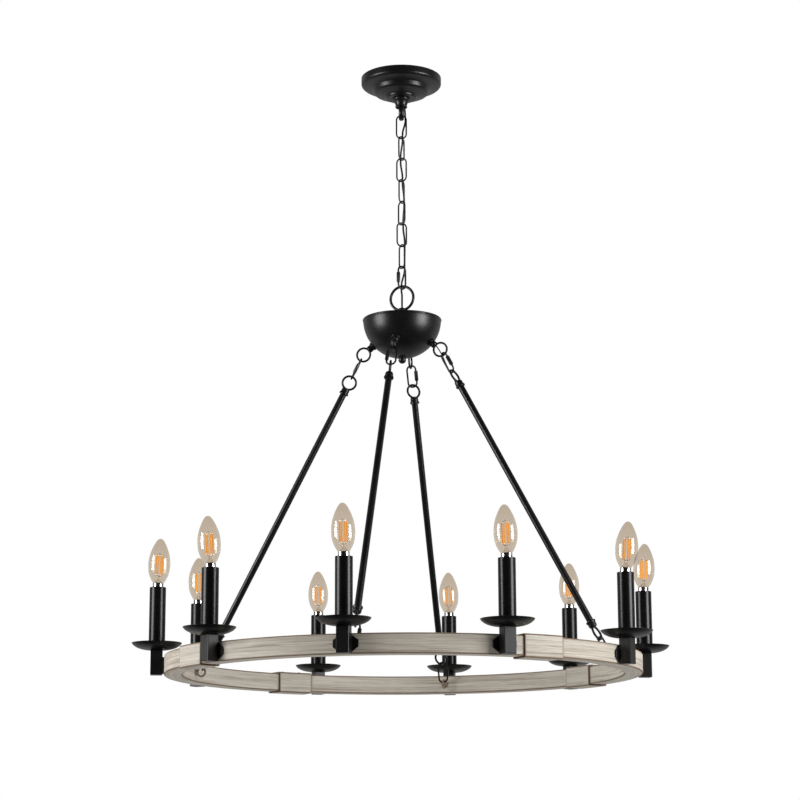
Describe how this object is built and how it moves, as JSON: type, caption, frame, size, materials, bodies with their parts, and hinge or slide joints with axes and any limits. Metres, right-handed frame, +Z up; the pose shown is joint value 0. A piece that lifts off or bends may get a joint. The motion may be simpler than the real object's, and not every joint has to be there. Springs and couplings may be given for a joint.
{
  "type": "wagon wheel chandelier",
  "caption": "Round wheel chandelier of wood-look square tube with candle lamps, hung on leaning rods from a half-ball hub, a chain and a ceiling canopy.",
  "frame": {"origin": "centre of the ceiling crossbar's upper face, on the ceiling plane where the canopy's rim also ends", "axes": "+Z up, -Y towards the front of the pictured view, +X to the viewer's right"},
  "size_m": [0.8624, 0.8481, 1.0118],
  "materials": {
    "black_paint": "satin black powder coat",
    "candle_black": "smooth semi-gloss black",
    "black_nut": "satin black",
    "plain_steel": "zinc plated",
    "brass": "plain",
    "wood_look_paint": "whitewashed wood-grain paint with brown glaze",
    "socket_plastic": "matt",
    "cord_black": "matt",
    "amber_glass": "clear amber tint",
    "bulb_metal": "bright nickel"
  },
  "bodies": {
    "root": {"ceiling_crossbar": "plain_steel", "canopy": "black_paint", "canopy_nipple": "brass", "canopy_nut": "plain_steel", "canopy_collar": "black_paint", "canopy_loop": "black_paint", "lamp_cord": "cord_black"},
    "chain": {"chain_link_1": "black_paint", "chain_link_2": "black_paint", "chain_link_3": "black_paint", "chain_link_4": "black_paint", "chain_link_5": "black_paint", "chain_link_6": "black_paint", "chain_link_7": "black_paint"},
    "quick_link": {"chain_quick_link": "black_paint", "chain_quick_nut": "black_nut"},
    "chandelier": {"hub_ring": "black_paint", "hub_check_ring": "black_paint", "hub_cover": "black_paint", "hub_bowl": "black_paint", "hub_stem": "brass", "hub_finial": "black_paint", "hub_eyes": "black_paint", "rods": "black_paint", "rod_ends": "black_paint", "rod_quick_links": "black_paint", "rod_quick_nuts": "black_nut", "wheel_arc_front": "wood_look_paint", "wheel_arc_right": "wood_look_paint", "wheel_arc_back": "wood_look_paint", "wheel_arc_left": "wood_look_paint", "wheel_sleeves": "wood_look_paint", "sleeve_screws": "black_nut", "wheel_eyes": "wood_look_paint", "candle_plates": "black_paint", "candle_posts": "black_paint", "candle_pans": "candle_black", "candle_tubes": "candle_black", "lamp_sockets": "socket_plastic", "rod_lead": "cord_black"},
    "bulb_1": {"bulb_glass_1": "amber_glass", "bulb_base_1": "bulb_metal"},
    "bulb_2": {"bulb_glass_2": "amber_glass", "bulb_base_2": "bulb_metal"},
    "bulb_3": {"bulb_glass_3": "amber_glass", "bulb_base_3": "bulb_metal"},
    "bulb_4": {"bulb_glass_4": "amber_glass", "bulb_base_4": "bulb_metal"},
    "bulb_5": {"bulb_glass_5": "amber_glass", "bulb_base_5": "bulb_metal"},
    "bulb_6": {"bulb_glass_6": "amber_glass", "bulb_base_6": "bulb_metal"},
    "bulb_7": {"bulb_glass_7": "amber_glass", "bulb_base_7": "bulb_metal"},
    "bulb_8": {"bulb_glass_8": "amber_glass", "bulb_base_8": "bulb_metal"},
    "bulb_9": {"bulb_glass_9": "amber_glass", "bulb_base_9": "bulb_metal"},
    "bulb_10": {"bulb_glass_10": "amber_glass", "bulb_base_10": "bulb_metal"}
  },
  "joints": [
    {"name": "chain_swing", "type": "hinge", "parent": "root", "child": "chain", "pos_m": [0, 0, -0.0708], "axis": [0, 1, 0], "range_deg": [-12, 12], "deforming": ["lamp_cord"]},
    {"name": "quick_link_swing", "type": "hinge", "parent": "chain", "child": "quick_link", "pos_m": [0, 0, -0.3332], "axis": [0.515, -0.8572, 0], "range_deg": [-12, 12]},
    {"name": "chandelier_turn", "type": "hinge", "parent": "quick_link", "child": "chandelier", "pos_m": [0, 0, -0.3686], "axis": [0, 0, 1], "range_deg": [-70, 20]},
    {"name": "bulb_1_draw", "type": "slide", "parent": "chandelier", "child": "bulb_1", "axis": [0, 0, 1], "range_m": [0, 0.024]},
    {"name": "bulb_2_draw", "type": "slide", "parent": "chandelier", "child": "bulb_2", "axis": [0, 0, 1], "range_m": [0, 0.024]},
    {"name": "bulb_3_draw", "type": "slide", "parent": "chandelier", "child": "bulb_3", "axis": [0, 0, 1], "range_m": [0, 0.024]},
    {"name": "bulb_4_draw", "type": "slide", "parent": "chandelier", "child": "bulb_4", "axis": [0, 0, 1], "range_m": [0, 0.024]},
    {"name": "bulb_5_draw", "type": "slide", "parent": "chandelier", "child": "bulb_5", "axis": [0, 0, 1], "range_m": [0, 0.024]},
    {"name": "bulb_6_draw", "type": "slide", "parent": "chandelier", "child": "bulb_6", "axis": [0, 0, 1], "range_m": [0, 0.024]},
    {"name": "bulb_7_draw", "type": "slide", "parent": "chandelier", "child": "bulb_7", "axis": [0, 0, 1], "range_m": [0, 0.024]},
    {"name": "bulb_8_draw", "type": "slide", "parent": "chandelier", "child": "bulb_8", "axis": [0, 0, 1], "range_m": [0, 0.024]},
    {"name": "bulb_9_draw", "type": "slide", "parent": "chandelier", "child": "bulb_9", "axis": [0, 0, 1], "range_m": [0, 0.024]},
    {"name": "bulb_10_draw", "type": "slide", "parent": "chandelier", "child": "bulb_10", "axis": [0, 0, 1], "range_m": [0, 0.024]}
  ]
}
